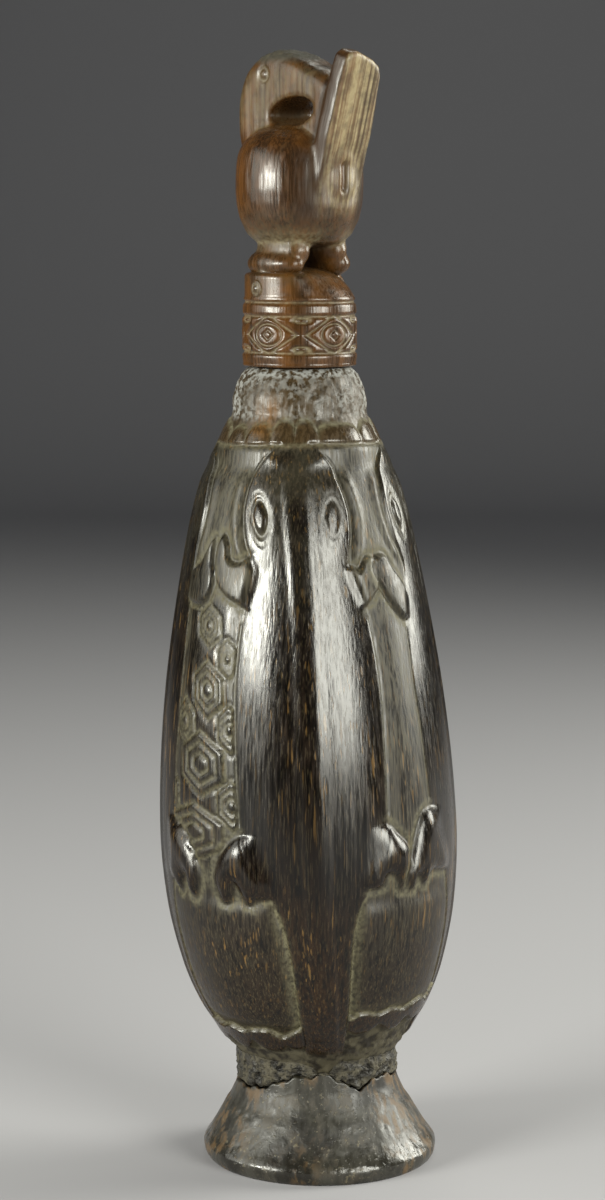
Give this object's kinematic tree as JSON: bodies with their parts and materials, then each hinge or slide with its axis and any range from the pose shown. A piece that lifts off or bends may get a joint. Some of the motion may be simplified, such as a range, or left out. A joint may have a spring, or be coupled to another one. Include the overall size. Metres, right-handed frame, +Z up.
{
  "type": "betel lime flask",
  "caption": "Carved palm-wood lime flask for betel chewing, with lizards in relief, a flared foot and a lift-out stopper carved as a bird.",
  "frame": {"origin": "centre of the foot's flat underside, on the ground", "axes": "+Z up; -Y is the front, where one lizard's spine faces; +X is to the right as seen from the front; the flask leans slightly towards -X"},
  "size_m": [0.053, 0.053, 0.1956],
  "materials": {
    "palm_wood": "polished by handling, dark, with pale dirt in the carving",
    "foot_wood": "worn satin with paler fibres",
    "putty": "rough, matte and pitted",
    "stopper_wood": "polished reddish brown, dusty in the hollows"
  },
  "bodies": {
    "flask": {"vessel": "palm_wood", "foot": "foot_wood", "foot_seal": "putty"},
    "stopper": {"stopper": "stopper_wood"}
  },
  "joints": [
    {"name": "stopper_lift", "type": "slide", "parent": "flask", "child": "stopper", "axis": [0, 0, 1], "range_m": [0, 0.024]}
  ]
}
